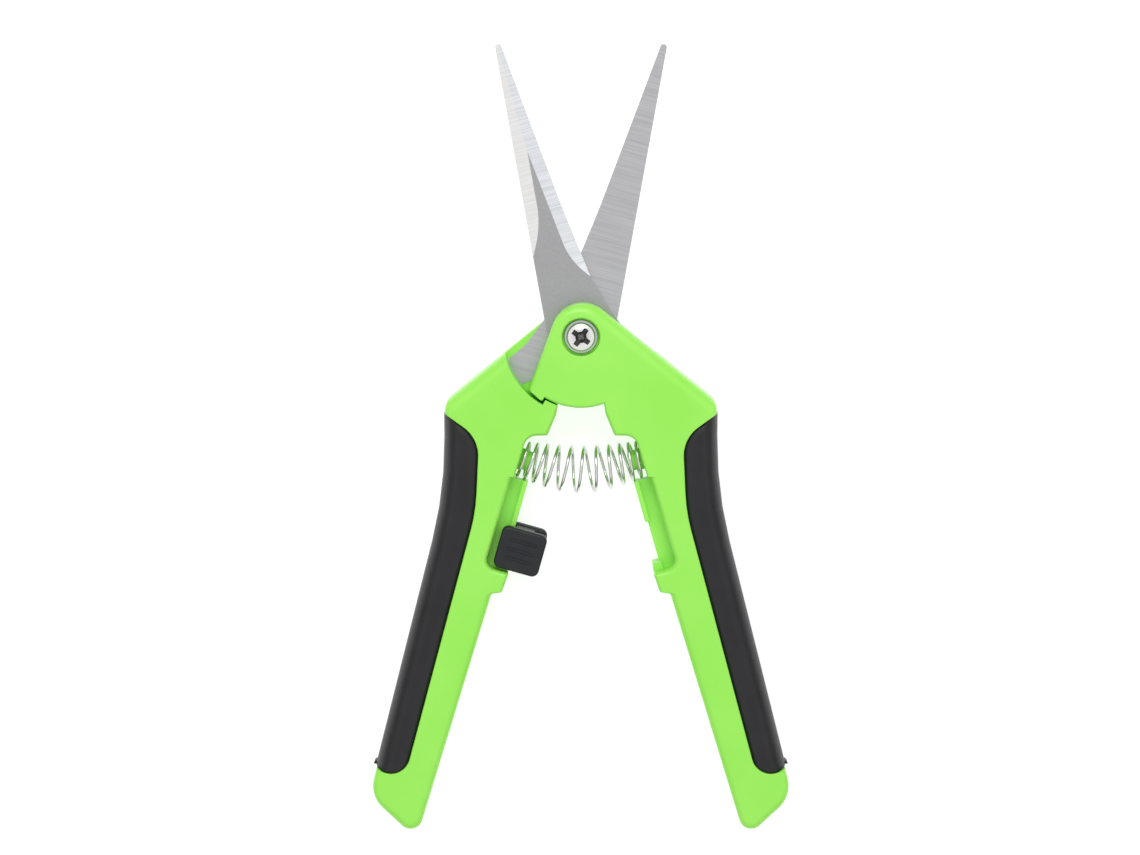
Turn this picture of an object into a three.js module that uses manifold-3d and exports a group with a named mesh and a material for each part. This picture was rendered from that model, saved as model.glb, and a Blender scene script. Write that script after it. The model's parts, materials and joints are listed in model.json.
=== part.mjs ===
// Floral snips: two hinged halves with ground steel blades, a return spring and a slide lock.
// Each half is drawn shut, with the pivot at the origin and the closing plane at x = 0, and its
// group then swings it open. The rear half is the front half's shape turned over.
import * as THREE from 'three';
import { mergeVertices } from 'three/addons/utils/BufferGeometryUtils.js';
import Module from 'manifold-3d';

const wasm = await Module();
wasm.setup();

// Driving sizes, in millimetres and degrees.
const THICKNESS = 14;
const MIDDLE = THICKNESS / 2;
const HALF_OPEN = THREE.MathUtils.degToRad(15.75);
const GAP = 0.3;
const LAP_GAP = 0.05;
const EDGE_ROUND = 1.2;
const PAST = 5;

const CAP_RADIUS = 16.15;
const STOP_ANGLE = 223;
const LAP_RADIUS = 17.7;
const TOOTH_ANGLE = -76.3;

const BLADE_THICKNESS = 1.5;
const SHANK_RADIUS = 2;
const BORE_RADIUS = 2.1;
const HEAD_RADIUS = 3.28;
const HEAD_HEIGHT = 2.1;
const COUNTERBORE_RADIUS = 4.3;
const COUNTERBORE_DEPTH = 2.8;
const WASHER_THICKNESS = 0.5;
const SEAT_GAP = 0.05;
const NUT_HALF_WIDTH = 3.5;
const NUT_POCKET_DEPTH = 4.2;
const RING_RADIUS = 2.85;

const SEAT_X = 5.9;
const PEG_Y = -31.1;
const PEG_LENGTH = 3.2;
const PEG_ROOT_RADIUS = 2.75;
const PEG_NOSE_RADIUS = 2.1;
const WIRE_RADIUS = 0.38;
const WIRE_CLEARANCE = 0.2;
const SPRING_TURNS = 10.5;
const SPRING_END_RADIUS = 3.9;
const SPRING_BELLY = 1.35;
const SPRING_BELLY_POWER = 1.5;
const SPRING_CROWDING = 0.055;
const SPRING_AXIS_ARM = 12.5;

const RAIL_TOP = -35.6;
const RAIL_FOOT = -54.8;
const RAIL_HALF = 2;
const FLANGE_HALF = 3.3;
const FRONT_FLANGE_END = -45.2;
const LOCK_Y = -51.05;
const LOCK_HEIGHT = 9.9;
const LOCK_PLAY = 0.1;
const LOCK_WEB_REST = 0.4;

const CORE_HALF = 3.6;
const GRIP_PROUD = 0.4;

// Colours and finishes.
const LIME = { color: 0x9bf05f, roughness: 0.42, metalness: 0 };
const CHARCOAL = { color: 0x2d2d31, roughness: 0.75, metalness: 0 };
const LOCK_BLACK = { color: 0x34353a, roughness: 0.5, metalness: 0 };
const GROUND_STEEL = { color: 0xb9bbbd, roughness: 0.35, metalness: 1 };
const BRIGHT_STEEL = { color: 0xd0d2d4, roughness: 0.18, metalness: 1 };
const NYLON = { color: 0xe4e2da, roughness: 0.5, metalness: 0 };

// Outlines are anticlockwise lists of corners: [x, y, corner radius].
const point = (radius, degrees) => {
  const angle = THREE.MathUtils.degToRad(degrees);
  return [radius * Math.cos(angle), radius * Math.sin(angle)];
};

// Three corners that make an arc about the pivot, in either direction.
function pivotArc(radius, from, to) {
  const half = THREE.MathUtils.degToRad(Math.abs(to - from) / 2);
  const crown = point(radius / Math.cos(half), (from + to) / 2);
  return [[...point(radius, from), 0], [...crown, radius], [...point(radius, to), 0]];
}

// The outline's points, with every rounded corner drawn as a true arc.
function outlinePoints(corners, arcStep = 12) {
  const points = [];
  const count = corners.length;
  for (let i = 0; i < count; i++) {
    const [x, y, radius] = corners[i];
    const at = new THREE.Vector2(x, y);
    if (radius === 0) {
      points.push(at);
      continue;
    }
    const toBefore = new THREE.Vector2(...corners[(i + count - 1) % count]).sub(at).normalize();
    const toAfter = new THREE.Vector2(...corners[(i + 1) % count]).sub(at).normalize();
    const halfAngle = Math.acos(toBefore.dot(toAfter)) / 2;
    const middle = toBefore.clone().add(toAfter).normalize();
    const centre = at.clone().addScaledVector(middle, radius / Math.sin(halfAngle));
    const start = at.clone().addScaledVector(toBefore, radius / Math.tan(halfAngle)).sub(centre);
    const turn = Math.PI - 2 * halfAngle;
    const sense = Math.sign(toAfter.cross(toBefore));
    const steps = Math.max(2, Math.ceil(THREE.MathUtils.radToDeg(turn) / arcStep));
    for (let k = 0; k <= steps; k++) {
      const spoke = start.clone().rotateAround(new THREE.Vector2(), (sense * turn * k) / steps);
      points.push(centre.clone().add(spoke));
    }
  }
  return points.filter((at, i) => at.distanceTo(points[(i + 1) % points.length]) > 1e-3);
}

// The same outline with every edge moved outward by a distance, inward if it is negative.
// An outer corner keeps its radius as it grows, so that a cut always clears the piece inside it.
function grown(corners, distance) {
  const count = corners.length;
  const moved = corners.map(([x, y], i) => {
    const [nextX, nextY] = corners[(i + 1) % count];
    const along = new THREE.Vector2(nextX - x, nextY - y).normalize();
    const outward = new THREE.Vector2(along.y, -along.x);
    return { from: new THREE.Vector2(x, y).addScaledVector(outward, distance), along };
  });
  return corners.map(([, , radius], i) => {
    const before = moved[(i + count - 1) % count];
    const after = moved[i];
    const bend = before.along.cross(after.along);
    const step = after.from.clone().sub(before.from).cross(after.along) / bend;
    const at = before.from.clone().addScaledVector(before.along, step);
    const round = bend > 0 ? radius + Math.min(distance, 0) : radius - distance;
    return [at.x, at.y, radius === 0 ? 0 : Math.max(0.05, round)];
  });
}

// Geometry to solid and back, so that pieces can be joined and cut.
function solidOf(geometry) {
  const bare = geometry.clone();
  bare.deleteAttribute('normal');
  bare.deleteAttribute('uv');
  const merged = mergeVertices(bare, 1e-4);
  return new wasm.Manifold(new wasm.Mesh({
    numProp: 3,
    vertProperties: new Float32Array(merged.attributes.position.array),
    triVerts: new Uint32Array(merged.index.array),
  }));
}

function geometryOf(solid) {
  const mesh = solid.getMesh();
  const geometry = new THREE.BufferGeometry();
  geometry.setAttribute('position', new THREE.BufferAttribute(mesh.vertProperties, 3));
  geometry.setIndex(new THREE.BufferAttribute(mesh.triVerts, 1));
  geometry.computeVertexNormals();
  return geometry;
}

// A prism between two heights, with its top and bottom edges rounded if a size is given.
function slab(corners, low, high, rounding = 0) {
  const face = outlinePoints(rounding > 0 ? grown(corners, -rounding) : corners);
  const geometry = new THREE.ExtrudeGeometry(new THREE.Shape(face), {
    depth: high - low - 2 * rounding,
    bevelEnabled: rounding > 0,
    bevelThickness: rounding,
    bevelSize: rounding,
    bevelSegments: 2,
  });
  return solidOf(geometry.translate(0, 0, low + rounding));
}

function box(lowX, highX, lowY, highY, lowZ, highZ) {
  const geometry = new THREE.BoxGeometry(highX - lowX, highY - lowY, highZ - lowZ);
  return solidOf(geometry.translate((lowX + highX) / 2, (lowY + highY) / 2, (lowZ + highZ) / 2));
}

function drum(radius, low, high, sides = 40) {
  const geometry = new THREE.CylinderGeometry(radius, radius, high - low, sides);
  return solidOf(geometry.rotateX(Math.PI / 2).translate(0, 0, (low + high) / 2));
}

// A ring or a turned solid about the pivot axis from its (radius, height) profile.
function turned(profile, sides = 40) {
  const points = profile.map(([radius, height]) => new THREE.Vector2(radius, height));
  return new THREE.LatheGeometry(points, sides).rotateX(Math.PI / 2);
}

function piece(name, geometry, finish) {
  const mesh = new THREE.Mesh(geometry, new THREE.MeshStandardMaterial(finish));
  mesh.name = name;
  return mesh;
}

// The outline shared by both handles: cap, stop lobe, lip, spring scoop, lock channel,
// block, long inner edge, butt, outer edge and shoulder.
const handleOutline = [
  [0.6, 12.7, 7.9],
  [-14.74, -8.42, 0.8],
  [...point(17.2, STOP_ANGLE), 0.5],
  ...pivotArc(CAP_RADIUS, STOP_ANGLE, 273.2),
  [0.6, -18.5, 6],
  [1.25, -23.75, 0.6],
  [5.75, -25.1, 3],
  [SEAT_X, -34.9, 0.2],
  [6.65, -35.1, 0.2],
  [6.95, -56.6, 2.2],
  [1.2, -56.7, 0.5],
  [1.5, -61.3, 0.8],
  [3.7, -62.2, 1.2],
  [4.95, -122, 2.9],
  [18.05, -115.2, 7],
  [20.04, -42.45, 95],
  [25.74, -22.96, 3],
];

// The grip's outline: its outer side follows the handle's and stands a little proud.
const gripOutline = [
  [16.1, -28.6, 8],
  [12.3, -45, 40],
  [11.4, -110.4, 4.5],
  [18.2 + GRIP_PROUD, -108.2, 0.3],
  [20.04 + GRIP_PROUD, -42.45, 95],
  [25.1 + GRIP_PROUD, -25.1, 0.3],
];

// The handle's tongue inside the grip.
const coreOutline = [
  [14, -33, 3],
  [10.5, -46, 40],
  [9.5, -106, 2],
  [15.6, -105, 2],
  [17.3, -42.4, 50],
  [21, -30.5, 2],
];

// The blade's outline: tip, spine, tang and cutting edge.
const bladeOutline = [
  [-0.95, 69.1, 0.75],
  [-7.45, 1.5, 5],
  [-6.4, -9.2, 2],
  [6.5, -12.2, 3],
  [13.9, -17.3, 1.5],
  [17.5, -13.9, 1.5],
  [11.6, -5.6, 8],
  [9.2, 0.8, 6],
  [7.5, 6.2, 6],
  [5.8, 12.4, 6],
  [3.9, 28.4, 150],
  [0.4, 69.1, 0.6],
];

// What the other half's cap and lobe sweep. The stop tooth stays, clear of the cap's round foot.
function lapCut() {
  const top = MIDDLE + LAP_GAP;
  const reach = 30;
  const tooth = [[0, 0, 0], [...point(reach, TOOTH_ANGLE - 25), 0], [...point(reach, TOOTH_ANGLE), 0]];
  return drum(LAP_RADIUS, -PAST, top, 90)
    .subtract(slab(tooth, -2 * PAST, THICKNESS))
    .add(drum(CAP_RADIUS + GAP, -PAST, top, 90));
}

// The rail, its flange and the stub that the lock's web comes down on.
function rail(flangeEnd) {
  const root = RAIL_FOOT - 4;
  const flangeX = 2.6;
  const flangeBack = 3.7;
  const stubX = 1.55;
  const low = MIDDLE - FLANGE_HALF;
  const high = MIDDLE + FLANGE_HALF;
  const web = box(flangeX + 0.6, 8, root, RAIL_TOP, MIDDLE - RAIL_HALF, MIDDLE + RAIL_HALF);
  const flange = box(flangeX, flangeBack, flangeEnd, RAIL_TOP, low, high);
  const stub = box(stubX, flangeBack, root, RAIL_FOOT, low, high);
  return web.add(flange).add(stub);
}

// The tapered peg that holds the end of the spring.
function peg() {
  const root = 1;
  const geometry = new THREE.CylinderGeometry(PEG_NOSE_RADIUS, PEG_ROOT_RADIUS, PEG_LENGTH + root, 24);
  geometry.rotateZ(Math.PI / 2);
  return solidOf(geometry.translate(SEAT_X + root - (PEG_LENGTH + root) / 2, PEG_Y, MIDDLE));
}

// The moulded handle: body and cap in one, with room for the tang, the grip and the pivot.
function handle(pivotPocket, flangeEnd) {
  const tangTop = MIDDLE + LAP_GAP + BLADE_THICKNESS + GAP;
  return slab(handleOutline, 0, THICKNESS, EDGE_ROUND)
    .subtract(slab(grown(gripOutline, GAP), -PAST, THICKNESS + PAST))
    .add(slab(coreOutline, MIDDLE - CORE_HALF, MIDDLE + CORE_HALF))
    .add(rail(flangeEnd))
    .add(peg())
    .subtract(lapCut())
    .subtract(slab(grown(bladeOutline, GAP), MIDDLE - PAST, tangTop).intersect(capSide()))
    .subtract(drum(BORE_RADIUS, -PAST, THICKNESS + PAST))
    .subtract(pivotPocket);
}

// Everything above the underside of a tang that is moulded in with a gap all round.
function capSide() {
  return box(-40, 40, -40, 80, MIDDLE + LAP_GAP - GAP, THICKNESS);
}

// The soft cover: wraps the outer side of the handle round the tongue.
function grip() {
  return slab(gripOutline, 0, THICKNESS, EDGE_ROUND)
    .subtract(slab(grown(coreOutline, GAP), MIDDLE - CORE_HALF - GAP, MIDDLE + CORE_HALF + GAP));
}

// A grinding cut: removes what is above a plane that rises from an edge line to the blade's face.
function grindCut(from, to, lowZ, width, highZ) {
  const length = from.distanceTo(to);
  const angle = to.clone().sub(from).angle();
  const slope = new THREE.Shape([
    new THREE.Vector2(-width, lowZ - (highZ - lowZ)),
    new THREE.Vector2(width * 2, highZ + (highZ - lowZ)),
    new THREE.Vector2(-width, highZ + (highZ - lowZ)),
  ]);
  const geometry = new THREE.ExtrudeGeometry(slope, { depth: length, bevelEnabled: false });
  geometry.rotateX(Math.PI / 2).translate(0, length, 0);
  geometry.rotateZ(angle - Math.PI / 2).translate(from.x, from.y, 0);
  return solidOf(geometry);
}

// The blade and tang: a flat plate, ground to the cutting edge and along the spine.
function blade() {
  const low = MIDDLE + LAP_GAP;
  const high = low + BLADE_THICKNESS;
  const tip = new THREE.Vector2(0.1, 73);
  const heel = new THREE.Vector2(5.8, 13.2);
  const spineTip = new THREE.Vector2(-0.6, 73);
  const spineEnd = new THREE.Vector2(-5.5, 20.5);
  const edgeLand = 0.2;
  const edgeWidth = 3.2;
  const spineLand = 0.75;
  const spineWidth = 2.9;
  const edgeGrind = grindCut(tip, heel, low + edgeLand, edgeWidth, high);
  const spineGrind = grindCut(spineEnd, spineTip, low + spineLand, spineWidth, high);
  return slab(bladeOutline, low, high)
    .subtract(edgeGrind)
    .subtract(spineGrind)
    .subtract(drum(BORE_RADIUS, 0, THICKNESS));
}

// The pan head screw with its cross recess.
function screw() {
  const seat = THICKNESS - COUNTERBORE_DEPTH + SEAT_GAP + WASHER_THICKNESS + SEAT_GAP;
  const top = seat + HEAD_HEIGHT;
  const foot = 0.4;
  const head = solidOf(turned([
    [0, foot],
    [SHANK_RADIUS, foot],
    [SHANK_RADIUS, seat],
    [HEAD_RADIUS, seat],
    [HEAD_RADIUS, seat + HEAD_HEIGHT * 0.45],
    [HEAD_RADIUS * 0.86, seat + HEAD_HEIGHT * 0.82],
    [HEAD_RADIUS * 0.5, top - 0.06],
    [0, top],
  ]));
  const recess = { length: 4.6, width: 1.15, depth: 1.4 };
  const arm = new THREE.BoxGeometry(recess.length, recess.width, 2 * recess.depth).translate(0, 0, top);
  const turn = THREE.MathUtils.degToRad(-35);
  const slotA = solidOf(arm.clone().rotateZ(turn));
  const slotB = solidOf(arm.clone().rotateZ(turn + Math.PI / 2));
  return head.subtract(slotA).subtract(slotB);
}

function washer() {
  const low = THICKNESS - COUNTERBORE_DEPTH + SEAT_GAP;
  const high = low + WASHER_THICKNESS;
  const rim = 3.8;
  return turned([[BORE_RADIUS, low], [rim, low], [rim, high], [BORE_RADIUS, high], [BORE_RADIUS, low]]);
}

// The lock nut: a hexagon and a round crown that holds the nylon ring.
function nut() {
  const high = NUT_POCKET_DEPTH - SEAT_GAP;
  const hexLow = 1.4;
  const crownLow = 0.35;
  const crownRadius = 3.3;
  return drum(NUT_HALF_WIDTH / Math.cos(Math.PI / 6), hexLow, high, 6)
    .add(drum(crownRadius, crownLow, hexLow + 0.1))
    .subtract(drum(BORE_RADIUS, 0, THICKNESS))
    .subtract(drum(RING_RADIUS + 0.1, 0, hexLow));
}

function nutRing() {
  const low = 0.5;
  const high = 1.3;
  const rim = RING_RADIUS;
  return turned([[BORE_RADIUS, low], [rim, low], [rim, high], [BORE_RADIUS, high], [BORE_RADIUS, low]]);
}

// The coil: a helix whose axis leaves each seat squarely and bows away from the pivot.
class CoilCurve extends THREE.Curve {
  constructor() {
    super();
    const offset = WIRE_RADIUS + GAP + WIRE_CLEARANCE;
    const seat = new THREE.Vector2(SEAT_X - offset, PEG_Y).rotateAround(new THREE.Vector2(), HALF_OPEN);
    const out = new THREE.Vector2(-SPRING_AXIS_ARM, 0).rotateAround(new THREE.Vector2(), HALF_OPEN);
    const lean = seat.clone().add(out);
    this.axis = new THREE.CubicBezierCurve(
      new THREE.Vector2(-seat.x, seat.y),
      new THREE.Vector2(-lean.x, lean.y),
      lean,
      seat,
    );
  }

  getPoint(t) {
    const along = THREE.MathUtils.clamp(t - SPRING_CROWDING * Math.sin(2 * Math.PI * t), 0, 1);
    const centre = this.axis.getPointAt(along);
    const forward = this.axis.getTangentAt(along);
    const sideways = new THREE.Vector2(-forward.y, forward.x);
    const turn = 2 * Math.PI * SPRING_TURNS * t - Math.PI / 2;
    const radius = SPRING_END_RADIUS + SPRING_BELLY * Math.sin(Math.PI * t) ** SPRING_BELLY_POWER;
    const across = radius * Math.sin(turn);
    return new THREE.Vector3(
      centre.x + sideways.x * across,
      centre.y + sideways.y * across,
      MIDDLE + radius * Math.cos(turn),
    );
  }
}

function spring() {
  const wire = new THREE.Shape().absarc(0, 0, WIRE_RADIUS, 0, 2 * Math.PI);
  return new THREE.ExtrudeGeometry(wire, {
    steps: Math.round(SPRING_TURNS * 22),
    curveSegments: 4,
    extrudePath: new CoilCurve(),
  });
}

// The slide lock, drawn in its handle's frame: two plates, the web between them and four lips.
function lock() {
  const halfWidth = 5.3;
  const corner = 1.6;
  const edge = 0.5;
  const low = LOCK_Y - LOCK_HEIGHT / 2;
  const high = LOCK_Y + LOCK_HEIGHT / 2;
  const face = [
    [-halfWidth, low, corner],
    [halfWidth, low, corner],
    [halfWidth, high, corner],
    [-halfWidth, high, corner],
  ];
  const clear = MIDDLE - FLANGE_HALF - GAP;
  const inFront = THICKNESS - clear;
  const webHalf = 2.2;
  let solid = slab(face, LOCK_PLAY, clear, edge)
    .add(slab(face, inFront, THICKNESS - LOCK_PLAY, edge))
    .add(box(-webHalf, webHalf, RAIL_FOOT + LOCK_WEB_REST, high - edge, clear - edge, inFront + edge));
  for (const [near, far] of [[-5.1, -4], [4, 5.1]]) {
    const lip = [near, far, low + 1, high - 1];
    solid = solid.add(box(...lip, clear - edge, MIDDLE - RAIL_HALF - GAP));
    solid = solid.add(box(...lip, MIDDLE + RAIL_HALF + GAP, inFront + edge));
  }
  const lineHalf = 3;
  for (const line of [-2.1, 0, 2.1]) {
    const y = LOCK_Y + line;
    solid = solid.add(box(-lineHalf, lineHalf, y - 0.15, y + 0.15, THICKNESS - 1, THICKNESS));
    solid = solid.add(box(-lineHalf, lineHalf, y - 0.15, y + 0.15, 0, 1));
  }
  return solid;
}

// The two halves, each swung open about the pivot; the rear one is turned over first.
const frontHalf = new THREE.Group();
const counterbore = drum(COUNTERBORE_RADIUS, THICKNESS - COUNTERBORE_DEPTH, THICKNESS + PAST);
frontHalf.add(piece('right_handle', geometryOf(handle(counterbore, FRONT_FLANGE_END)), LIME));
frontHalf.add(piece('right_grip', geometryOf(grip()), CHARCOAL));
frontHalf.add(piece('front_blade', geometryOf(blade()), GROUND_STEEL));
frontHalf.rotation.z = HALF_OPEN;

const rearHalf = new THREE.Group();
const nutPocket = drum((NUT_HALF_WIDTH + GAP) / Math.cos(Math.PI / 6),
  THICKNESS - NUT_POCKET_DEPTH, THICKNESS + PAST, 6);
rearHalf.add(piece('left_handle', geometryOf(handle(nutPocket, RAIL_FOOT)), LIME));
rearHalf.add(piece('left_grip', geometryOf(grip()), CHARCOAL));
rearHalf.add(piece('rear_blade', geometryOf(blade()), GROUND_STEEL));
rearHalf.add(piece('lock_slider', geometryOf(lock()), LOCK_BLACK));
rearHalf.rotation.set(0, Math.PI, HALF_OPEN);
rearHalf.position.z = THICKNESS;

const pivot = new THREE.Group();
pivot.add(piece('pivot_screw', geometryOf(screw()), BRIGHT_STEEL));
pivot.add(piece('head_washer', washer(), BRIGHT_STEEL));
const nutMesh = piece('pivot_nut', geometryOf(nut()), BRIGHT_STEEL);
const ringMesh = piece('nut_ring', nutRing(), NYLON);
nutMesh.rotation.z = -HALF_OPEN;
pivot.add(nutMesh);
pivot.add(ringMesh);

const snips = new THREE.Group();
snips.add(frontHalf, rearHalf, pivot, piece('return_spring', spring(), BRIGHT_STEEL));

// The origin is at the middle of the object's base, and it lies on the rear half's flat back.
const extent = new THREE.Box3().setFromObject(snips);
const centre = extent.getCenter(new THREE.Vector3());
snips.position.set(-centre.x, -centre.y, -extent.min.z);

export default snips;
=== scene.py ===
import json
import math

import bpy
import numpy as np
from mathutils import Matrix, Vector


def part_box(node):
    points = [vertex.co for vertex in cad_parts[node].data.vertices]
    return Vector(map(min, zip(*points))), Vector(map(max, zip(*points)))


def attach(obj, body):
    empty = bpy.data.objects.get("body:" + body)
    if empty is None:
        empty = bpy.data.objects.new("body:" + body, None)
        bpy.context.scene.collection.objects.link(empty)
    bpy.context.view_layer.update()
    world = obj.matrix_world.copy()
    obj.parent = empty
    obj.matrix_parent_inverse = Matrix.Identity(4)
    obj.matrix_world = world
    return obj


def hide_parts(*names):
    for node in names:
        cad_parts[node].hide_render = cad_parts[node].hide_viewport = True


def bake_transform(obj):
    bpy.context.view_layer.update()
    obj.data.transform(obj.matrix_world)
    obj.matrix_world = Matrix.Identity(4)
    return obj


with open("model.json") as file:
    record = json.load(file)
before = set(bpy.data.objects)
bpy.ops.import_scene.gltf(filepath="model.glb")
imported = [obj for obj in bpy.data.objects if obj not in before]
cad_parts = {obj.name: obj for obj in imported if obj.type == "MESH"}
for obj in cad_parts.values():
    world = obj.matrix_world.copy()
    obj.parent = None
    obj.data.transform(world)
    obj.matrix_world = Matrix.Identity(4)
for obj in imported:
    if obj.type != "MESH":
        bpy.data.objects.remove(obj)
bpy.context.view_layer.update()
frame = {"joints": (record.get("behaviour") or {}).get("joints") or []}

# ---------------------------------------------------------------------------------------------
# The moulded handles. Each is one injection moulding in glossy lime plastic: a half-lap cap at
# the pivot, a peg for the spring, a rail for the lock, and a tongue inside the soft grip. Both
# halves are one shape, drawn shut with the pivot at the origin, in millimetres.
# ---------------------------------------------------------------------------------------------
MM = 0.001
pivot_joint = next(joint for joint in frame["joints"] if joint["name"] == "pivot")
pivot_x, pivot_y = (value / MM for value in pivot_joint["pos_m"][:2])
half_open = math.radians(pivot_joint["range_deg"][1] / 2)
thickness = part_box("left_handle")[1].z / MM
middle = thickness / 2

cap_radius = 16.15
lap_radius = 17.7
stop_angle = 223.0
tooth_angle = -76.3
lap_gap = 0.05
seat_x = 5.9
peg_y = -31.1
rail_top = -35.6
rail_foot = -54.8
rail_half = 2.0
flange_half = 3.3
core_half = 3.6
bore_radius = 2.1
rim_flare = 0.35
blade_thickness = 1.5

SOFT = (1.5, 1.5)
CRISP = (0.25, 0.4)


def polar(radius, degrees):
    """A point at a radius and an angle about the pivot."""
    angle = math.radians(degrees)
    return radius * math.cos(angle), radius * math.sin(angle)


def pivot_arc(radius, start, end, rim):
    """Three corners that draw an arc about the pivot: its two ends, and between them the corner
    where the tangents meet, rounded by the arc's own radius."""
    crown = polar(radius / math.cos(math.radians(abs(end - start) / 2)), (start + end) / 2)
    return [(*polar(radius, start), 0, *rim), (*crown, radius, *rim), (*polar(radius, end), 0, *rim)]


# Corners, anticlockwise: x, y, corner radius, then how far the rounding of the edge that leaves
# the corner reaches in from the side and down from the face.
handle_corners = [
    (0.6, 12.7, 7.2, 1.1, 1.1),
    (-14.74, -8.42, 0.8, *CRISP),
    (*polar(17.2, stop_angle), 0.5, 0.12, 0.4),
    *pivot_arc(cap_radius, stop_angle, 273.2, (0.7, 0.9)),
    (0.6, -18.5, 6, 0.9, 1.2),
    (1.25, -23.75, 0.6, 0.9, 1.2),
    (5.75, -25.1, 3, 0.6, 0.8),
    (seat_x, -35.0, 0.15, 0.1, 0.8),
    (6.65, -35.1, 0.15, 1.1, 1.1),
    (6.95, -56.6, 2.2, 1.1, 1.1),
    (1.2, -56.7, 0.5, 0.9, 1.1),
    (1.5, -61.3, 0.8, 0.5, 0.9),
    (3.7, -62.2, 1.2, 2.0, 1.6),
    (4.95, -122, 2.9, 2.0, 2.2),
    (18.05, -115.2, 7, *SOFT),
    (20.04, -42.45, 95, *SOFT),
    (25.74, -22.96, 3, 3.2, 2.6),
]

grip_corners = [
    (16.1, -28.6, 8, 3.0, 1.3),
    (12.3, -45, 40, 3.0, 1.3),
    (11.4, -110.4, 4.5, 2.4, 1.2),
    (18.6, -108.2, 0.3, 4.0, 5.4),
    (20.44, -42.45, 95, 4.0, 5.4),
    (25.5, -25.1, 0.3, 1.8, 0.8),
]

core_corners = [
    (14, -33, 3, 0, 0),
    (10.5, -46, 40, 0, 0),
    (9.5, -106, 2, 0, 0),
    (15.6, -105, 2, 0, 0),
    (17.3, -42.4, 50, 0, 0),
    (21, -30.5, 2, 0, 0),
]

blade_corners = [
    (-0.95, 69.1, 0.75, 0.05, 0.05),
    (-7.45, 1.5, 5, 0.05, 0.05),
    (-6.4, -9.2, 2, 0.05, 0.05),
    (6.5, -12.2, 3, 0.05, 0.05),
    (13.9, -17.3, 1.5, 0.05, 0.05),
    (17.5, -13.9, 1.5, 0.05, 0.05),
    (11.6, -5.6, 8, 0.05, 0.05),
    (9.2, 0.8, 6, 0.05, 0.05),
    (7.5, 6.2, 6, 0.05, 0.05),
    (5.8, 12.4, 6, 0.03, 0.03),
    (3.9, 28.4, 150, 0.03, 0.03),
    (0.4, 69.1, 0.6, 0.05, 0.05),
]


def outline(corners, inset=0.0, arc_step=5.0):
    """A closed outline as an array of points. Every edge is moved inward by its own inset, and
    neighbouring edges meet again in corners, each drawn as an arc tangent to both edges. Arcs
    too long for the edge between them shrink together until they fit it."""
    at = np.array([corner[:2] for corner in corners], float)
    radii = np.array([corner[2] for corner in corners], float)
    inset = np.broadcast_to(np.asarray(inset, float), radii.shape)
    along = np.roll(at, -1, 0) - at
    along /= np.linalg.norm(along, axis=1)[:, None]
    moved = at + inset[:, None] * np.stack([-along[:, 1], along[:, 0]], 1)
    before, before_at = np.roll(along, 1, 0), np.roll(moved, 1, 0)
    bend = before[:, 0] * along[:, 1] - before[:, 1] * along[:, 0]
    gap = moved - before_at
    step = (gap[:, 0] * along[:, 1] - gap[:, 1] * along[:, 0]) / bend
    corner_at = before_at + step[:, None] * before
    shift = np.sign(bend) * (inset + np.roll(inset, 1)) / 2
    rounds = np.where(radii > 0, np.maximum(radii - shift, 0.03), 0)
    turns = np.arctan2(bend, (before * along).sum(1))
    tangents = rounds * np.tan(np.abs(turns) / 2)
    room = np.linalg.norm(np.roll(corner_at, -1, 0) - corner_at, axis=1)
    fits = np.minimum(1, 0.98 * room / np.maximum(tangents + np.roll(tangents, -1), 1e-6))
    rounds *= np.minimum(fits, np.roll(fits, 1))
    points = []
    for place, radius, turn, into in zip(corner_at, rounds, turns, before):
        if radius == 0:
            points.append(place[None, :])
            continue
        start = place - into * radius * math.tan(abs(turn) / 2)
        side = math.copysign(1.0, turn)
        centre = start + side * radius * np.array([-into[1], into[0]])
        steps = max(2, math.ceil(abs(math.degrees(turn)) / arc_step))
        angles = np.linspace(0, turn, steps + 1)
        spoke = start - centre
        arc = np.stack([
            spoke[0] * np.cos(angles) - spoke[1] * np.sin(angles),
            spoke[0] * np.sin(angles) + spoke[1] * np.cos(angles),
        ], 1)
        points.append(centre + arc)
    return np.concatenate(points)


def solid(name, rings):
    """A closed mesh from rings of points, (ring, point, xyz) in millimetres: four-sided faces
    join each ring to the next, and one face closes each end."""
    rings = np.asarray(rings, float)
    count, sides = rings.shape[:2]
    ring = np.arange(count - 1)[:, None] * sides
    here, there = np.arange(sides), np.roll(np.arange(sides), -1)
    quads = np.stack([ring + here, ring + there, ring + sides + there, ring + sides + here], -1)
    faces = quads.reshape(-1, 4).tolist()
    faces.append(list(range(sides))[::-1])
    faces.append(list(range((count - 1) * sides, count * sides)))
    mesh = bpy.data.meshes.new(name)
    mesh.from_pydata((rings.reshape(-1, 3) * MM).tolist(), [], faces)
    piece = bpy.data.objects.new(name, mesh)
    bpy.context.scene.collection.objects.link(piece)
    return piece


def slab(name, corners, low, high, steps=7, flare=0.0):
    """A plate between two heights. Towards each face every edge draws in along its own quarter
    ellipse, as wide and as deep as its corner says. A flare spreads the ends instead, for a tool
    that leaves rounded rims."""
    reach = np.array([corner[3] for corner in corners])
    depth = np.maximum([corner[4] for corner in corners], 1e-3)
    sweep = np.linspace(0, math.pi / 2, steps + 1)
    if depth.max() < 0.01:
        sweep = sweep[-1:]
    top = high - depth.max() * (1 - np.sin(sweep))
    heights = np.concatenate([low + high - top[::-1], top])
    rings = []
    for height in heights:
        near = np.minimum(height - low, high - height)
        share = np.clip(1 - near / depth, 0, 1)
        inset = reach * (1 - np.sqrt(1 - share**2)) * (-1 if flare else 1)
        flat = outline(corners, inset)
        rings.append(np.column_stack([flat, np.full(len(flat), height)]))
    return solid(name, rings)


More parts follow.
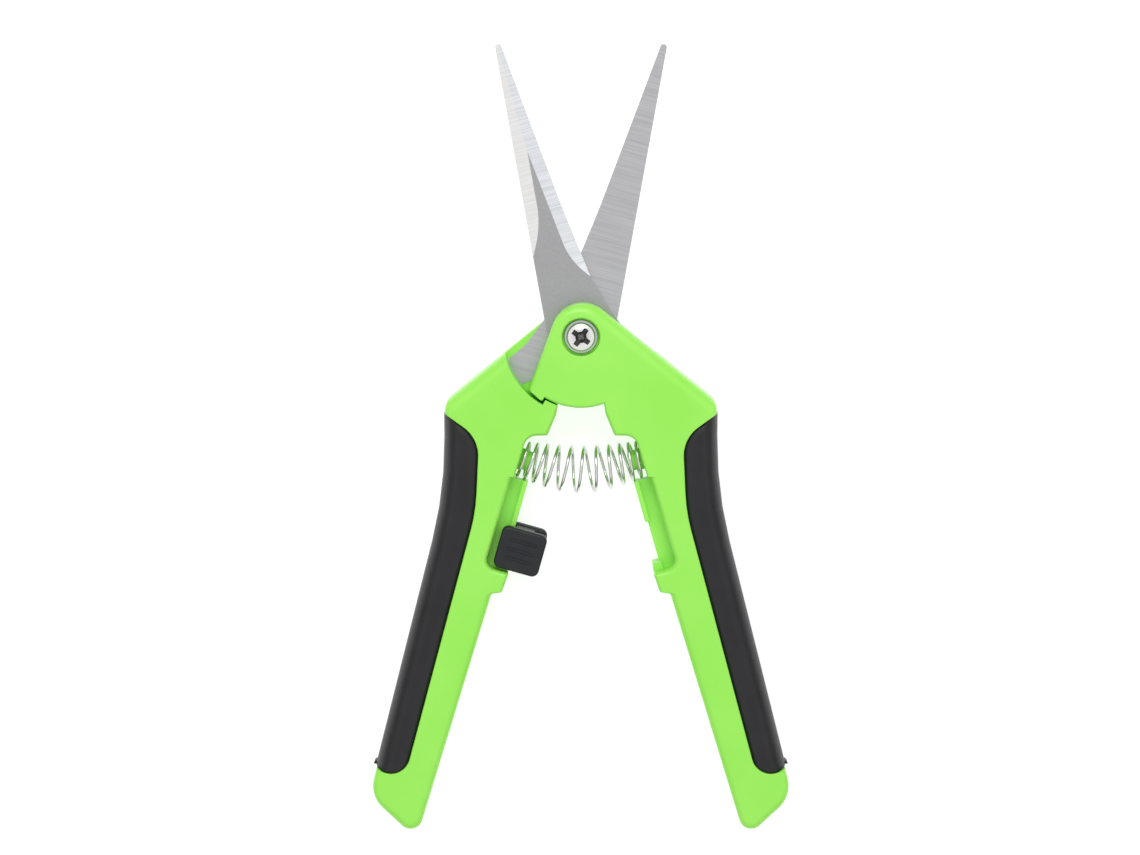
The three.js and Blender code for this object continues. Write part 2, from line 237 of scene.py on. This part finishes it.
def turned(name, profile, sides=64):
    """A turned solid about the pivot axis from its profile of (radius, height), low end first."""
    angles = np.linspace(0, 2 * math.pi, sides, endpoint=False)
    radius, height = np.array(profile, float).T
    rings = np.stack([
        radius[:, None] * np.cos(angles),
        radius[:, None] * np.sin(angles),
        np.broadcast_to(height[:, None], (len(radius), sides)),
    ], -1)
    return solid(name, rings)


def block(name, low, high, edge=0.15):
    """A box between two corners, with small rounded edges round its sides."""
    (x0, y0, z0), (x1, y1, z1) = low, high
    corners = [(x, y, edge, edge, edge) for x, y in ((x0, y0), (x1, y0), (x1, y1), (x0, y1))]
    return slab(name, corners, z0, z1, steps=3)


def moved(piece, turn=0.0, shift=(0, 0, 0), tip=None):
    """Turns a piece's mesh about Z, or tips it with a 3 by 3 matrix, then shifts it, in
    millimetres."""
    cos, sin = math.cos(turn), math.sin(turn)
    matrix = np.array([[cos, -sin, 0], [sin, cos, 0], [0, 0, 1]]) if tip is None else np.array(tip)
    flat = np.empty(len(piece.data.vertices) * 3)
    piece.data.vertices.foreach_get("co", flat)
    points = flat.reshape(-1, 3) @ matrix.T + np.array(shift) * MM
    piece.data.vertices.foreach_set("co", points.ravel())
    piece.data.update()
    return piece


def combine(piece, tools, operation):
    """Joins tools to a piece or cuts them out of it, one after another, and removes them."""
    for tool in tools:
        modifier = piece.modifiers.new("combine", "BOOLEAN")
        modifier.operation = operation
        modifier.solver = "MANIFOLD"
        modifier.object = tool
        bpy.context.view_layer.objects.active = piece
        bpy.ops.object.modifier_apply(modifier=modifier.name)
        bpy.data.objects.remove(tool)
    return piece


def finish_surface(piece, material, crease=32.0):
    """Smooth shading that breaks at sharp edges and keeps broad flat faces flat."""
    mesh = piece.data
    mesh.polygons.foreach_set("use_smooth", [True] * len(mesh.polygons))
    mesh.set_sharp_from_angle(angle=math.radians(crease))
    weighted = piece.modifiers.new("flat faces", "WEIGHTED_NORMAL")
    weighted.keep_sharp = True
    mesh.materials.clear()
    mesh.materials.append(material)
    return piece


def into_half(piece, front):
    """Swings a piece drawn shut to its place in the open tool, turned over for the rear half."""
    cos, sin = math.cos(half_open), math.sin(half_open)
    if front:
        return moved(piece, half_open, (pivot_x, pivot_y, 0))
    turned_over = [[-cos, sin, 0], [sin, cos, 0], [0, 0, -1]]
    return moved(piece, shift=(pivot_x, pivot_y, thickness), tip=turned_over)


def plain_material(name, colour, roughness, metallic=0.0):
    """A new material with its constant values on the shader's own sockets."""
    material = bpy.data.materials.new(name)
    material.use_nodes = True
    shader = material.node_tree.nodes["Principled BSDF"]
    shader.inputs["Base Color"].default_value = (*colour, 1)
    shader.inputs["Roughness"].default_value = roughness
    shader.inputs["Metallic"].default_value = metallic
    return material, material.node_tree, shader


def noise(tree, scale, detail=3.0, stretch=(1, 1, 1), turn=0.0, roughness=0.55):
    """Noise over Object coordinates, stretched along the axes of a turned frame."""
    coordinates = tree.nodes.new("ShaderNodeTexCoord")
    mapping = tree.nodes.new("ShaderNodeMapping")
    mapping.vector_type = "TEXTURE"
    mapping.inputs["Rotation"].default_value = (0, 0, turn)
    mapping.inputs["Scale"].default_value = tuple(1 / value for value in stretch)
    texture = tree.nodes.new("ShaderNodeTexNoise")
    texture.inputs["Scale"].default_value = scale
    texture.inputs["Detail"].default_value = detail
    texture.inputs["Roughness"].default_value = roughness
    tree.links.new(coordinates.outputs["Object"], mapping.inputs["Vector"])
    tree.links.new(mapping.outputs["Vector"], texture.inputs["Vector"])
    return texture.outputs["Fac"]


def ranged(tree, value, low, high, start=0.3, end=0.7):
    """A value spread from one range to another."""
    node = tree.nodes.new("ShaderNodeMapRange")
    node.inputs["From Min"].default_value = start
    node.inputs["From Max"].default_value = end
    node.inputs["To Min"].default_value = low
    node.inputs["To Max"].default_value = high
    tree.links.new(value, node.inputs["Value"])
    return node.outputs["Result"]


def shaded(tree, shader, value, dark, light, start=0.3, end=0.7):
    """Base colour that runs from a dark to a light tone with a value."""
    ramp = tree.nodes.new("ShaderNodeValToRGB")
    ramp.color_ramp.elements[0].position = start
    ramp.color_ramp.elements[0].color = (*dark, 1)
    ramp.color_ramp.elements[1].position = end
    ramp.color_ramp.elements[1].color = (*light, 1)
    tree.links.new(value, ramp.inputs["Fac"])
    tree.links.new(ramp.outputs["Color"], shader.inputs["Base Color"])


def bumped(tree, shader, value, strength, distance):
    """Fine relief from a value, on the shader's normal."""
    bump = tree.nodes.new("ShaderNodeBump")
    bump.inputs["Strength"].default_value = strength
    bump.inputs["Distance"].default_value = distance
    tree.links.new(value, bump.inputs["Height"])
    tree.links.new(bump.outputs["Normal"], shader.inputs["Normal"])


def lime_plastic():
    """Glossy lime plastic, a little milky: a slow drift of tone, fine spark-eroded grain."""
    material, tree, shader = plain_material("lime_plastic", (0.31, 0.80, 0.095), 0.3)
    cloud = noise(tree, 60, 2)
    shaded(tree, shader, cloud, (0.295, 0.790, 0.085), (0.325, 0.815, 0.105))
    tree.links.new(ranged(tree, noise(tree, 900, 2), 0.30, 0.33), shader.inputs["Roughness"])
    bumped(tree, shader, noise(tree, 3200, 2), 0.1, 0.00002)
    shader.inputs["Specular IOR Level"].default_value = 0.45
    shader.inputs["Subsurface Weight"].default_value = 0.08
    shader.inputs["Subsurface Radius"].default_value = (0.4, 1.0, 0.2)
    shader.inputs["Subsurface Scale"].default_value = 0.0015
    return material


def lap_tool(name):
    """What clears the other half's cap: a disc up to the stop tooth, below the middle plane. Its
    rim at the outer face is flared, which leaves a rounded edge on the step."""
    top = middle + lap_gap
    profile = [(lap_radius + rim_flare, -1), (lap_radius + rim_flare, 0)]
    for angle in np.linspace(0, math.pi / 2, 5)[1:]:
        inward, upward = 1 - math.sin(angle), 1 - math.cos(angle)
        profile.append((lap_radius + rim_flare * inward, rim_flare * upward))
    profile.append((lap_radius, top))
    disc = turned(name, profile, 144)
    past_rim, tooth_span = 30, 25
    wedge = [
        (0, 0, 0, 0, 0),
        (*polar(past_rim, tooth_angle - tooth_span), 0, 0, 0),
        (*polar(past_rim, tooth_angle), 0, 0, 0),
    ]
    combine(disc, [slab("tooth", wedge, -2, thickness)], "DIFFERENCE")
    foot_radius = cap_radius + 0.3
    foot = turned("foot", [(foot_radius, -1.5), (foot_radius, top)], 144)
    return combine(disc, [foot], "UNION")


def spring_peg(name):
    """A tapered peg with a rounded nose, lying across the handle's inner face."""
    peg_length = 3.2
    nose = seat_x - peg_length
    profile = [(2.75, -(seat_x + 1)), (2.15, -(nose + 0.5)), (2.0, -(nose + 0.2)), (1.7, -nose)]
    upright = turned(name, profile, 40)
    return moved(upright, shift=(0, peg_y, middle), tip=[[0, 0, -1], [0, 1, 0], [1, 0, 0]])


def handle(name, front, mouth, flange_end):
    """One handle: the body with its cap, then tongue, rail, flange, stub and peg joined on, then
    the lap, the tang's pocket, the bore and the pivot's pocket cut out."""
    body = slab(name, handle_corners, 0, thickness)
    square = [(*corner[:3], 0, 0) for corner in grip_corners]
    flared = [(*corner[:3], 0.25, 0.3) for corner in grip_corners]
    combine(body, [slab("end", square, low, low + 3) for low in (-3, thickness)], "DIFFERENCE")
    combine(body, [slab("groove", flared, 0, thickness, flare=1)], "DIFFERENCE")
    back, face = middle - flange_half, middle + flange_half
    stub_foot = rail_foot - 4
    additions = [
        slab("tongue", core_corners, middle - core_half, middle + core_half),
        block("web", (3.2, stub_foot, middle - rail_half), (8, rail_top, middle + rail_half)),
        block("flange", (2.6, flange_end, back), (3.7, rail_top - 0.01, face)),
        block("stub", (1.55, stub_foot, back), (3.72, rail_foot, face)),
        spring_peg("peg"),
    ]
    combine(body, additions, "UNION")
    pocket = [(*corner[:3], 0, 0) for corner in blade_corners]
    pocket_floor = middle + lap_gap
    cuts = [
        lap_tool("lap"),
        slab("pocket", pocket, pocket_floor - 0.02, pocket_floor + blade_thickness + 0.1),
        turned("bore", [(bore_radius, -2), (bore_radius, thickness + 2)]),
        mouth,
    ]
    combine(body, cuts, "DIFFERENCE")
    finish_surface(body, handle_material)
    into_half(body, front)
    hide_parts(name.replace("_body", "_handle"))
    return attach(body, "front_half" if front else "rear_half")


handle_material = lime_plastic()
counterbore_radius, counterbore_depth = 4.3, 2.8
counterbore = turned("counterbore", [
    (counterbore_radius, thickness - counterbore_depth),
    (counterbore_radius, thickness - 0.3),
    (counterbore_radius + 0.06, thickness - 0.15),
    (counterbore_radius + 0.3, thickness),
    (counterbore_radius + 0.3, thickness + 6),
])
pocket_flat, nut_pocket_depth = 3.8, 4.2
pocket_point = pocket_flat / math.cos(math.pi / 6)
nut_pocket = turned(
    "nut_pocket", [(pocket_point, thickness - nut_pocket_depth), (pocket_point, thickness + 6)], 6)
short_flange_end = -45.2
handle("right_body", True, counterbore, short_flange_end)
handle("left_body", False, nut_pocket, rail_foot)

# ---------------------------------------------------------------------------------------------
# The soft grips. A charcoal elastomer moulded over the outer side of each handle, crowned across
# its face, with a fine matt grain. A small flash of the parting line stands out at its foot.
# ---------------------------------------------------------------------------------------------


def soft_rubber():
    """Charcoal elastomer: a low soft sheen over a fine even grain."""
    material, tree, shader = plain_material("soft_rubber", (0.017, 0.017, 0.019), 0.6)
    shaded(tree, shader, noise(tree, 140, 3), (0.010, 0.010, 0.0115), (0.014, 0.014, 0.0165))
    tree.links.new(ranged(tree, noise(tree, 1500, 2), 0.38, 0.48), shader.inputs["Roughness"])
    bumped(tree, shader, noise(tree, 5200, 3), 0.35, 0.00006)
    shader.inputs["Specular IOR Level"].default_value = 0.36
    return material


grip_material = soft_rubber()
grip_below = 0.02
flash_corners = [
    (18.2, -105.4, 0.4, 0.1, 0.1),
    (18.3, -108.1, 0.15, 0.1, 0.1),
    (19.25, -108.35, 0.15, 0.1, 0.1),
]
flash_half = 2.2
for grip_name, front in (("right_cover", True), ("left_cover", False)):
    cover = slab(grip_name, grip_corners, grip_below, thickness - grip_below, steps=14)
    flash = slab("flash", flash_corners, middle - flash_half, middle + flash_half, steps=2)
    combine(cover, [flash], "UNION")
    combine(cover, [slab("tongue", core_corners, middle - core_half, middle + core_half)], "DIFFERENCE")
    finish_surface(cover, grip_material, 40)
    into_half(cover, front)
    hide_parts(grip_name.replace("cover", "grip"))
    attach(cover, "front_half" if front else "rear_half")

# ---------------------------------------------------------------------------------------------
# The blades. Stamped stainless plate: the inner face is cross-ground flat, and the outer face is
# ground in two long bevels, to the cutting edge and to the spine, that run out above the pivot
# and leave a satin flat between them, its darker tone partly painted shade.
# ---------------------------------------------------------------------------------------------


def grind(name, start, end, low, width, high, run_out):
    """A grinding wheel's cut: a wedge whose sloping side rises from an edge to the blade's face,
    carried along the edge from its start. Over the run-out at the end it lifts with the square
    of the distance, so that the bevel closes in a curve."""
    start, end = np.array(start, float), np.array(end, float)
    length = np.linalg.norm(end - start)
    along = (end - start) / length
    across = np.array([-along[1], along[0]])
    travel = np.concatenate([[0], np.linspace(length - run_out, length + 2, 24)])
    rise = high - low
    lift = rise * np.clip((travel - length + run_out) / run_out, 0, None) ** 2
    wedge = np.array([(-width, low - rise), (2 * width, high + rise), (-width, high + rise + 2)])
    if width < 0:
        wedge = wedge[::-1]
    place = start + travel[:, None] * along
    rings = np.empty((len(travel), 3, 3))
    rings[:, :, :2] = place[:, None, :] + wedge[None, :, 0, None] * across
    rings[:, :, 2] = wedge[None, :, 1] + lift[:, None]
    return solid(name, rings)


def ground_steel(name, turn, dark, light):
    """Cross-ground stainless: fine lines that run across the blade, in tone, gloss and relief."""
    material, tree, shader = plain_material(name, light, 0.3, 1.0)
    lines = noise(tree, 1, 3, (55, 4200, 55), turn, 0.6)
    shaded(tree, shader, lines, dark, light)
    tree.links.new(ranged(tree, lines, 0.30, 0.36), shader.inputs["Roughness"])
    bumped(tree, shader, lines, 0.12, 0.00001)
    return material


def satin_shaded_steel(name, turn):
    """Satin stainless of the blade's flat: a fine frosted grain, slightly drawn lengthwise. Its
    base colour is darker than the other steels', partly for the satin finish and partly as painted
    shade for the dimmer reflection the flat shows.
    """
    material, tree, shader = plain_material(name, (0.55, 0.55, 0.56), 0.38, 1.0)
    grain = noise(tree, 1, 4, (4200, 1500, 4200), turn, 0.6)
    # The darker base tones are partly the satin finish and partly painted shade.
    shaded(tree, shader, grain, (0.395, 0.395, 0.40), (0.45, 0.45, 0.455))
    tree.links.new(ranged(tree, grain, 0.34, 0.46), shader.inputs["Roughness"])
    bumped(tree, shader, grain, 0.2, 0.00002)
    return material


def blade(name, front):
    """One blade: the plate with its tang, less the two long bevels and the bore. Its finish goes
    by the face: ground bevels, a satin flat between them whose darker tone is partly painted
    shade, and a ground inner face."""
    low = middle + lap_gap
    high = low + blade_thickness
    plate = slab(name, blade_corners, low, high, steps=2)
    edge_land, spine_land = 0.2, 0.3
    tools = [
        grind("edge", (-0.28, 76), (5.85, 12.4), low + edge_land, -3.15, high, 9.5),
        grind("spine", (-0.29, 76), (-5.62, 20.4), low + spine_land, 3.0, high, 11.5),
        turned("bore", [(bore_radius, 0), (bore_radius, thickness)]),
    ]
    combine(plate, tools, "DIFFERENCE")
    turn = half_open if front else -half_open
    edge = ground_steel(name + "_edge", turn, (0.58, 0.60, 0.625), (0.80, 0.82, 0.85))
    satin_shaded = satin_shaded_steel(name + "_satin", turn)
    inner = ground_steel(name + "_inner", turn, (0.51, 0.51, 0.525), (0.62, 0.62, 0.635))
    spine = ground_steel(name + "_spine", turn, (0.71, 0.705, 0.695), (0.84, 0.835, 0.825))
    finish_surface(plate, edge, 4)
    for material in (satin_shaded, inner, spine):
        plate.data.materials.append(material)
    on_edge, on_satin_shaded, on_inner, on_spine = range(4)
    faces = plate.data.polygons
    height = np.array([face.center.z for face in faces]) / MM
    lean = np.array([face.normal.x for face in faces])
    near = 0.01
    finish = np.where(lean < -0.02, on_spine, on_edge)
    finish = np.where(height < low + near, on_inner, finish)
    # Faces of the outer flat take the satin steel with its painted shade.
    finish = np.where(height > high - near, on_satin_shaded, finish)
    faces.foreach_set("material_index", finish)
    into_half(plate, front)
    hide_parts(name)
    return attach(plate, "front_half" if front else "rear_half")


blade("front_blade", True)
blade("rear_blade", False)

# ---------------------------------------------------------------------------------------------
# The pivot. A bright plated pan head screw with a cross recess on a flat washer, drawn up by a
# lock nut with a nylon ring in the rear half's hexagonal pocket.
# ---------------------------------------------------------------------------------------------


def bright_plate():
    """Bright plated steel with faint wear in its gloss."""
    material, tree, shader = plain_material("bright_plate", (0.70, 0.70, 0.69), 0.2, 1.0)
    tree.links.new(ranged(tree, noise(tree, 700, 3), 0.12, 0.26), shader.inputs["Roughness"])
    bumped(tree, shader, noise(tree, 2600, 2), 0.08, 0.00003)
    return material


def recess_painted_shade():
    """The same plating down in the cross recess: dull, with painted shade, a dark mottled base colour that
    stands in for the shadow inside the recess.
    """
    material, tree, shader = plain_material("painted_shade_metal", (0.2, 0.2, 0.2), 0.45, 1.0)
    shaded(tree, shader, noise(tree, 2500, 2), (0.13, 0.13, 0.13), (0.26, 0.26, 0.255))
    return material


def white_nylon():
    """Natural nylon, a warm white with little gloss."""
    material, tree, shader = plain_material("nylon", (0.78, 0.77, 0.72), 0.45)
    shaded(tree, shader, noise(tree, 500, 2), (0.74, 0.73, 0.67), (0.80, 0.79, 0.74))
    return material


screw_metal = bright_plate()
# Painted shade: a dark metal for the faces inside the cross recess.
painted_shade_metal = recess_painted_shade()
nylon_material = white_nylon()
washer_low = thickness - counterbore_depth + 0.05
washer_high = washer_low + 0.5
head_seat = washer_high + 0.05
head_radius, head_height = 3.28, 2.1
head_top = head_seat + head_height
shank_radius = 2.0
nut_flat = 3.5
nut_low, nut_high = 1.3, 4.15
ring_low, ring_radius = 0.5, 2.85


def pan_head(name):
    """The screw turned from its profile: shank, flat seat, and a head whose side rolls over in an
    arc into a low dome, which falls with the square of the radius. Two tapered keys and a cone
    in the middle cut the cross recess."""
    roll = 0.6
    side = []
    for angle in np.linspace(0, 0.42 * math.pi, 9):
        inward, upward = roll * (1 - math.cos(angle)), roll * math.sin(angle)
        side.append((head_radius - inward, head_seat + 1.0 + upward))
    edge_radius, edge_height = side[-1]
    fall = head_top - edge_height
    dome = [(edge_radius * share, edge_height + fall * (1 - share**2)) for share in (0.8, 0.6, 0.4, 0.2)]
    shank_foot, centre = 0.4, 0.05
    shank = [
        (centre, shank_foot),
        (shank_radius - 0.2, shank_foot),
        (shank_radius, shank_foot + 0.3),
        (shank_radius, head_seat),
    ]
    seat = [(head_radius - 0.1, head_seat), (head_radius, head_seat + 0.12)]
    screw = turned(name, [*shank, *seat, *side, *dome, (centre, head_top)], 96)
    top = head_top + 0.2
    mouth, floor = (2.45, 0.6), (0.7, 0.32)
    corners = ((-1, -1), (1, -1), (1, 1), (-1, 1))
    for turn in (-35, 55):
        rings = [[(x * half, y * wide, top - drop) for x, y in corners]
                 for (half, wide), drop in ((floor, 2.1), (mouth, 0.4), (mouth, 0.0))]
        combine(screw, [moved(solid("key", rings), math.radians(turn))], "DIFFERENCE")
    well = turned("well", [(0.3, top - 2.2), (1.3, top - 0.3), (1.3, top)])
    return combine(screw, [well], "DIFFERENCE")


def ring(name, inner, outer, low, high, edge):
    """A flat ring with chamfered rims: a turned disc less its bore."""
    rim = [(outer - edge, low), (outer, low + edge), (outer, high - edge), (outer - edge, high)]
    disc = turned(name, rim, 72)
    hole = turned("hole", [(inner, low - 1), (inner, high + 1)], 72)
    return combine(disc, [hole], "DIFFERENCE")


def lock_nut(name):
    """A hexagon whose corners are chamfered by a turned cone, with a round crown round the ring."""
    nut_point = nut_flat / math.cos(math.pi / 6)
    hexagon = turned(name, [(nut_point, nut_low), (nut_point, nut_high)], 6)
    dressing = turned("dressing", [(3.45, 1.2), (4.2, 1.75), (4.2, nut_high + 1)], 72)
    combine(hexagon, [dressing], "INTERSECT")
    crown = turned("crown", [(2.95, 0.35), (3.15, 0.45), (3.3, 0.8), (3.3, 1.5)], 72)
    combine(hexagon, [crown], "UNION")
    seat_radius = ring_radius + 0.05
    cuts = [
        turned("bore", [(bore_radius, 0), (bore_radius, nut_high + 1)], 48),
        turned("seat", [(seat_radius, 0), (seat_radius, nut_low + 0.05)], 72),
    ]
    return combine(hexagon, cuts, "DIFFERENCE")


screw = pan_head("screw")
washer = ring("washer", bore_radius, 3.8, washer_low, washer_high, 0.08)
nut = moved(lock_nut("nut"), -half_open)
nylon_ring = ring("nylon_ring", bore_radius, ring_radius, ring_low, nut_low, 0.1)
pivot_pieces = [
    (screw, "pivot_screw", screw_metal, "bright_steel"),
    (washer, "head_washer", screw_metal, "bright_steel"),
    (nut, "pivot_nut", screw_metal, "bright_steel"),
    (nylon_ring, "nut_ring", nylon_material, "nylon"),
]
# Faces of the screw within this reach, above the seat and below the top, take the painted shade of the
# cross recess.
painted_shade_reach = 2.3
for piece, node, material, finish in pivot_pieces:
    finish_surface(piece, material, 28)
    if node == "pivot_screw":
        piece.data.materials.append(painted_shade_metal)
        faces = piece.data.polygons
        centres = np.array([face.center for face in faces]) / MM
        inside = np.hypot(centres[:, 0], centres[:, 1]) < painted_shade_reach
        inside &= centres[:, 2] > head_seat + 0.1
        inside &= centres[:, 2] < head_top - 0.34
        faces.foreach_set("material_index", inside.astype(int))
    moved(piece, shift=(pivot_x, pivot_y, 0))
    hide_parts(node)
    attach(piece, "rear_half")

# ---------------------------------------------------------------------------------------------
# The return spring. Bright drawn wire, coiled fuller in the middle than at its ends, which sit
# over the two pegs. It bows away from the pivot between the handles' faces.
# ---------------------------------------------------------------------------------------------
wire_radius = 0.38
coil_turns = 10.5
coil_end_radius = 3.9
coil_belly = 1.35
coil_reach = 12.5
coil_closing = 0.055


def coil(name, steps_per_turn=44, sides=12):
    """A wire carried along a helix. The helix's axis is a cubic curve in the tool's plane that
    leaves each seat squarely; its radius swells with a power of the sine along the length, and
    its pitch closes up at the ends."""
    cos, sin = math.cos(half_open), math.sin(half_open)
    start_x = seat_x - wire_radius - 0.12
    seat = np.array([start_x * cos - peg_y * sin, start_x * sin + peg_y * cos])
    lean = seat - coil_reach * np.array([cos, sin])
    knots = np.array([(-seat[0], seat[1]), (-lean[0], lean[1]), lean, seat])
    fine = np.linspace(0, 1, 2001)[:, None]
    weights = np.hstack([(1 - fine) ** 3, 3 * fine * (1 - fine) ** 2, 3 * fine**2 * (1 - fine), fine**3])
    axis = weights @ knots
    run = np.concatenate([[0], np.cumsum(np.linalg.norm(np.diff(axis, axis=0), axis=1))])
    t = np.linspace(0, 1, int(coil_turns * steps_per_turn) + 1)
    along = np.clip(t - coil_closing * np.sin(2 * math.pi * t), 0, 1) * run[-1]
    centre = np.stack([np.interp(along, run, axis[:, k]) for k in (0, 1)], 1)
    forward = np.gradient(centre, axis=0)
    forward /= np.linalg.norm(forward, axis=1)[:, None]
    outward = np.column_stack([-forward[:, 1], forward[:, 0], np.zeros(len(t))])
    turn = 2 * math.pi * coil_turns * t - math.pi / 2
    radius = coil_end_radius + coil_belly * np.sin(math.pi * t) ** 1.5
    upward = np.array([0, 0, 1.0])
    spoke = outward * np.sin(turn)[:, None] + upward * np.cos(turn)[:, None]
    path = np.column_stack([centre, np.full(len(t), middle)]) + spoke * radius[:, None]
    tangent = np.gradient(path, axis=0)
    tangent /= np.linalg.norm(tangent, axis=1)[:, None]
    side = np.cross(tangent, spoke)
    side /= np.linalg.norm(side, axis=1)[:, None]
    normal = np.cross(side, tangent)
    around = np.linspace(0, 2 * math.pi, sides, endpoint=False)[None, :, None]
    section = normal[:, None, :] * np.cos(around) + side[:, None, :] * np.sin(around)
    return solid(name, path[:, None, :] + wire_radius * section), seat


def drawn_wire():
    """Bright drawn wire with faint drawing marks."""
    material, tree, shader = plain_material("drawn_wire", (0.68, 0.68, 0.67), 0.2, 1.0)
    tree.links.new(ranged(tree, noise(tree, 1400, 3), 0.14, 0.28), shader.inputs["Roughness"])
    return material


spring, spring_seat = coil("spring")
finish_surface(spring, drawn_wire(), 50)
moved(spring, shift=(pivot_x, pivot_y, 0))
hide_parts("return_spring")
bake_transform(spring)

# ---------------------------------------------------------------------------------------------
# The slide lock. One black moulding: two plates with three raised lines, a web between them, and
# lips along their edges that hook behind the rails' flanges.
# ---------------------------------------------------------------------------------------------
lock_y = -51.05
lock_half_width, lock_half_height = 5.3, 4.95
line_proud = 0.34


def lock_plastic():
    """Black moulded plastic with a fine spark-eroded texture."""
    material, tree, shader = plain_material("lock_plastic", (0.018, 0.019, 0.022), 0.45)
    shaded(tree, shader, noise(tree, 300, 2), (0.013, 0.014, 0.017), (0.018, 0.019, 0.022))
    tree.links.new(ranged(tree, noise(tree, 1800, 2), 0.38, 0.52), shader.inputs["Roughness"])
    bumped(tree, shader, noise(tree, 4200, 3), 0.3, 0.00006)
    shader.inputs["Specular IOR Level"].default_value = 0.32
    return material


def lock_body(name):
    """The lock drawn in its handle's frame: plates, web, lips and the raised lines."""
    low, high = lock_y - lock_half_height, lock_y + lock_half_height
    face = [(x, y, 1.6, 0.7, 0.7) for x, y in (
        (-lock_half_width, low), (lock_half_width, low), (lock_half_width, high), (-lock_half_width, high))]
    slack, overlap = 0.3, 0.8
    inside = middle - flange_half - slack
    body = slab(name, face, line_proud, inside)
    web_foot, web_head = rail_foot + 0.4, high - 0.5
    additions = [
        slab("plate", face, thickness - inside, thickness - line_proud),
        block("web", (-2.2, web_foot, inside - 0.5), (2.2, web_head, thickness - inside + 0.5)),
    ]
    lip_root, lip_tip = inside - overlap, middle - rail_half - slack
    for near, far in ((-5.1, -4.0), (4.0, 5.1)):
        for back, front in ((lip_root, lip_tip), (thickness - lip_tip, thickness - lip_root)):
            additions.append(block("lip", (near, low + 1, back), (far, high - 1, front)))
    line_reach, line_half, line_pitch = 3.2, 0.2, 2.1
    for line in (-1, 0, 1):
        y = lock_y + line * line_pitch
        for z in (0.0, thickness - 1):
            near, far = (-line_reach, y - line_half, z), (line_reach, y + line_half, z + 1)
            additions.append(block("line", near, far, 0.12))
    return combine(body, additions, "UNION")


lock = lock_body("lock")
finish_surface(lock, lock_plastic(), 34)
into_half(lock, False)
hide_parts("lock_slider")
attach(lock, "lock")

# ---------------------------------------------------------------------------------------------
# The floor, the light and the camera. The snips lie on a plain white light table under a soft
# sky and one softbox beyond the blades, and are seen from above the blades.
# ---------------------------------------------------------------------------------------------
far, level = 2, -0.0001
floor_corners = [(-far, -far, level), (far, -far, level), (far, far, level), (-far, far, level)]
floor_mesh = bpy.data.meshes.new("floor")
floor_mesh.from_pydata(floor_corners, [], [(0, 1, 2, 3)])
floor = bpy.data.objects.new("floor", floor_mesh)
bpy.context.scene.collection.objects.link(floor)
floor_material, _, floor_shader = plain_material("white_sheet", (0.5, 0.5, 0.5), 0.9)
floor_shader.inputs["Emission Color"].default_value = (1, 1, 1, 1)
floor_shader.inputs["Emission Strength"].default_value = 0.72
floor_mesh.materials.append(floor_material)

world = bpy.data.worlds.new("studio")
bpy.context.scene.world = world
world.use_nodes = True
sky = world.node_tree
background = sky.nodes["Background"]
direction = sky.nodes.new("ShaderNodeTexCoord")
split = sky.nodes.new("ShaderNodeSeparateXYZ")
tent = sky.nodes.new("ShaderNodeValToRGB")
horizon, zenith = tent.color_ramp.elements
horizon.position, zenith.position = 0.0, 1.0
horizon.color = (0.08, 0.08, 0.08, 1)
zenith.color = (0.62, 0.62, 0.63, 1)
for height, tone in ((0.35, 0.35), (0.6, 1.05), (0.84, 1.1)):
    tent.color_ramp.elements.new(height).color = (tone, tone, tone, 1)
sky.links.new(direction.outputs["Generated"], split.inputs["Vector"])
sky.links.new(split.outputs["Z"], tent.inputs["Fac"])
sky.links.new(tent.outputs["Color"], background.inputs["Color"])
background.inputs["Strength"].default_value = 1.04
bpy.context.scene.view_settings.view_transform = "Standard"


def soft_light(name, place, aim, size, power):
    """A square softbox that faces a point."""
    light = bpy.data.lights.new(name, "AREA")
    light.size = size
    light.energy = power
    lamp = bpy.data.objects.new(name, light)
    bpy.context.scene.collection.objects.link(lamp)
    lamp.location = place
    toward = np.array(aim, float) - np.array(place, float)
    yaw = math.atan2(toward[0], -toward[1])
    pitch = math.atan2(math.hypot(toward[0], toward[1]), -toward[2])
    lamp.rotation_euler = (pitch, 0, math.pi + yaw)
    return lamp


soft_light("key", (0, 0.7, 0.8), (0, 0, 0), 0.5, 3.8)

frame_width = 0.2592
distance = 0.8
frame_shift = 0.05
camera_data = bpy.data.cameras.new("camera")
camera = bpy.data.objects.new("camera", camera_data)
bpy.context.scene.collection.objects.link(camera)
bpy.context.scene.camera = camera
tilt = math.radians(4.8)
sensor = 36
aim_below_pivot = 20.5
aim_point = np.array([-2.5, pivot_y - aim_below_pivot, thickness]) * MM
aim_point += frame_shift * frame_width * np.array([0, 1, 0])
camera.location = aim_point + distance * np.array([0, math.sin(tilt), math.cos(tilt)])
camera.rotation_euler = (-tilt, 0, 0)
camera_data.sensor_width = sensor
camera_data.lens = sensor * distance / frame_width
camera_data.shift_y = -frame_shift
camera_data.clip_start = 0.01
